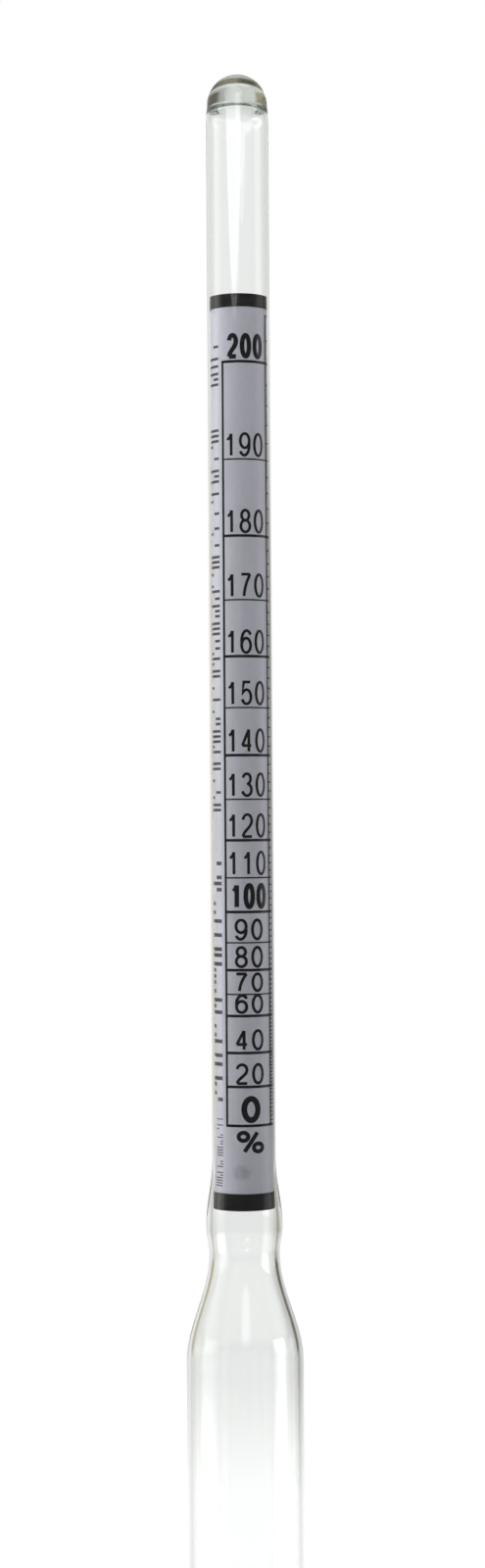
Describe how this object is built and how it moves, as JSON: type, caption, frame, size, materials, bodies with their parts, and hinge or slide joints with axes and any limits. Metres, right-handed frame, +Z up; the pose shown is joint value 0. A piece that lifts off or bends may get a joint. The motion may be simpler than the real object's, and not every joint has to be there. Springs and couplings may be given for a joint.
{
  "type": "hydrometer",
  "caption": "Sealed glass alcohol hydrometer: slim domed stem with a rolled paper scale, long float with collar and waist, weighted tapered foot.",
  "frame": {"origin": "lowest point of the foot, on the hydrometer's axis", "axes": "+Z up the stem along the axis; the scale's readings face -Y, with +X to their right"},
  "size_m": [0.0174, 0.0174, 0.3207],
  "materials": {
    "stem_glass": "polished",
    "float_glass": "polished",
    "scale_paper": "matte",
    "scale_ink": "matte",
    "black_band": "satin",
    "glue": "gloss",
    "shot_steel": "polished",
    "sealing_wax": "satin"
  },
  "bodies": {
    "root": {"stem_tube": "stem_glass", "float_bulb": "float_glass", "scale_sheet": "scale_paper", "scale_band_top": "black_band", "scale_band_bottom": "black_band", "scale_glue": "glue", "ballast_shot": "shot_steel", "ballast_seal": "sealing_wax"}
  },
  "joints": []
}
